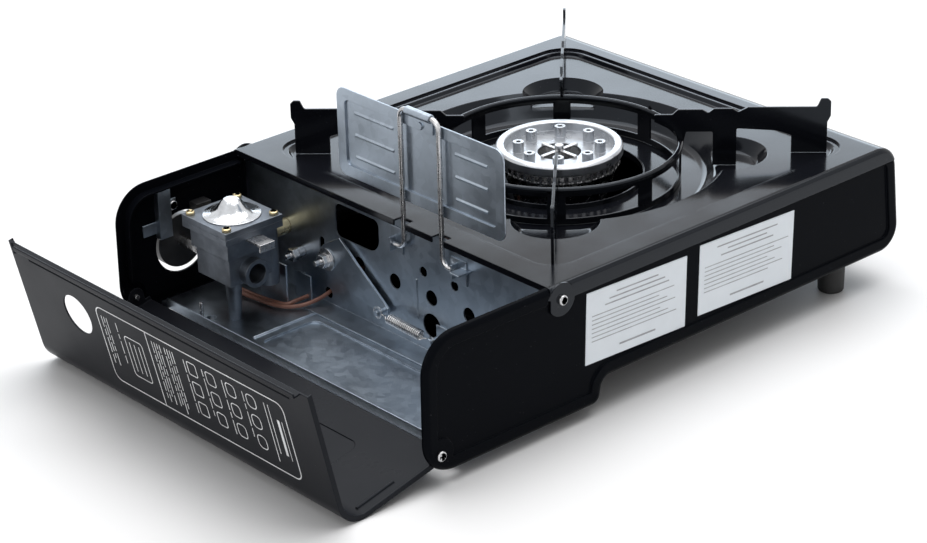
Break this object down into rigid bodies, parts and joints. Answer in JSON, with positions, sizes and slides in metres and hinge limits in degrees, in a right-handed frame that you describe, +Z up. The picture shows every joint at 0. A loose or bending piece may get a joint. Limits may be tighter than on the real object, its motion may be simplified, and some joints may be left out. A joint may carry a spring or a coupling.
{
  "type": "portable gas stove",
  "caption": "Single-burner tabletop gas stove with a square well, four-arm pan support, side cartridge compartment, hinged two-sided lid, heat plate on a wire bail, knob and lock lever",
  "frame": {"origin": "middle of the footprint at table level, measured at rest with the lid open", "axes": "+X from the burner to the cartridge compartment and lid, +Y to the rear panel away from the knob, +Z up"},
  "size_m": [0.4216, 0.278, 0.1489],
  "materials": {
    "black_enamel": "gloss black stove enamel",
    "galvanised": "dull galvanised sheet",
    "steel": "bright steel",
    "chrome": "polished chrome",
    "cast_alloy": "grey die-cast alloy",
    "aluminium": "turned aluminium",
    "zinc_yellow": "yellow zinc plated screws",
    "rubber": "black rubber",
    "plastic": "matte black plastic",
    "label": "white bare label",
    "lead": "brown lead insulation",
    "ceramic": "white ceramic"
  },
  "bodies": {
    "housing": {"bail_bracket_left": "galvanised", "bail_bracket_right": "galvanised", "base_pan": "black_enamel", "burner_bowl": "steel", "burner_bracket": "galvanised", "burner_bridge": "steel", "burner_head": "aluminium", "burner_port_ring": "steel", "cartridge_guide_tab": "steel", "compartment_floor": "galvanised", "dial_plate": "plastic", "electrode": "ceramic", "floor_pin": "steel", "foot_left_front": "rubber", "foot_left_rear": "rubber", "foot_right_front": "rubber", "foot_right_rear": "rubber", "foot_screws": "steel", "front_panel": "black_enamel", "gas_jet": "zinc_yellow", "housing_screws": "steel", "igniter": "plastic", "ignition_lead": "lead", "inlet_nozzle": "cast_alloy", "inlet_seal": "rubber", "inlet_stem": "steel", "lead_tab": "galvanised", "lever_channel": "galvanised", "lever_screw": "steel", "lid_pivot_screws": "steel", "link_bolts": "steel", "mixing_tube": "cast_alloy", "partition_wall": "galvanised", "rating_labels": "label", "rear_panel": "black_enamel", "regulator_body": "cast_alloy", "regulator_bracket": "galvanised", "regulator_cover": "cast_alloy", "regulator_diaphragm": "rubber", "regulator_dome": "chrome", "regulator_screws": "zinc_yellow", "spring_anchor": "galvanised", "top_plate": "black_enamel"},
    "lid": {"lid_panel": "black_enamel"},
    "bail": {"wire_bail": "steel"},
    "heat_shield": {"heat_plate": "galvanised", "heat_plate_clip": "galvanised"},
    "knob": {"control_knob": "plastic", "valve_spindle": "steel"},
    "lever": {"lock_lever": "galvanised"},
    "link": {"link_arm": "galvanised"},
    "spring": {"toggle_spring": "steel"},
    "pan_support": {"pan_ring": "black_enamel", "pan_arm_front_left": "black_enamel", "pan_arm_front_right": "black_enamel", "pan_arm_rear_left": "black_enamel", "pan_arm_rear_right": "black_enamel"}
  },
  "joints": [
    {"name": "lid_hinge", "type": "hinge", "parent": "housing", "child": "lid", "pos_m": [0.13018, 0.00905, 0.0184], "axis": [0, -1, 0], "range_deg": [0, 102.9]},
    {"name": "bail_hinge", "type": "hinge", "parent": "housing", "child": "bail", "pos_m": [0.05208, 0.03755, 0.067], "axis": [0, 1, 0], "range_deg": [0, 90]},
    {"name": "heat_plate_hinge", "type": "hinge", "parent": "bail", "child": "heat_shield", "pos_m": [0.05208, 0.03755, 0.1466], "axis": [0, 1, 0], "range_deg": [0, 6]},
    {"name": "knob_turn", "type": "hinge", "parent": "housing", "child": "knob", "pos_m": [0.09518, -0.11895, 0.0404], "axis": [0, -1, 0], "range_deg": [0, 150]},
    {"name": "lock_slide", "type": "slide", "parent": "housing", "child": "lever", "axis": [0, 0, -1], "range_m": [0, 0.012]},
    {"name": "link_pivot", "type": "hinge", "parent": "housing", "child": "link", "pos_m": [0.05118, -0.04245, 0.0393], "axis": [1, 0, 0], "range_deg": [0, 14.2]},
    {"name": "spring_pivot", "type": "hinge", "parent": "housing", "child": "spring", "pos_m": [0.05718, 0.04755, 0.0231], "axis": [-1, 0, 0], "range_deg": [0, 16.3]},
    {"name": "pan_support_lift", "type": "slide", "parent": "housing", "child": "pan_support", "axis": [0, 0, 1], "range_m": [0, 0.06]}
  ],
  "couplings": [
    {"joint": "link_pivot", "follows": "lock_slide", "rad_per_m": 20.362},
    {"joint": "spring_pivot", "follows": "lock_slide", "rad_per_m": 23.224}
  ]
}
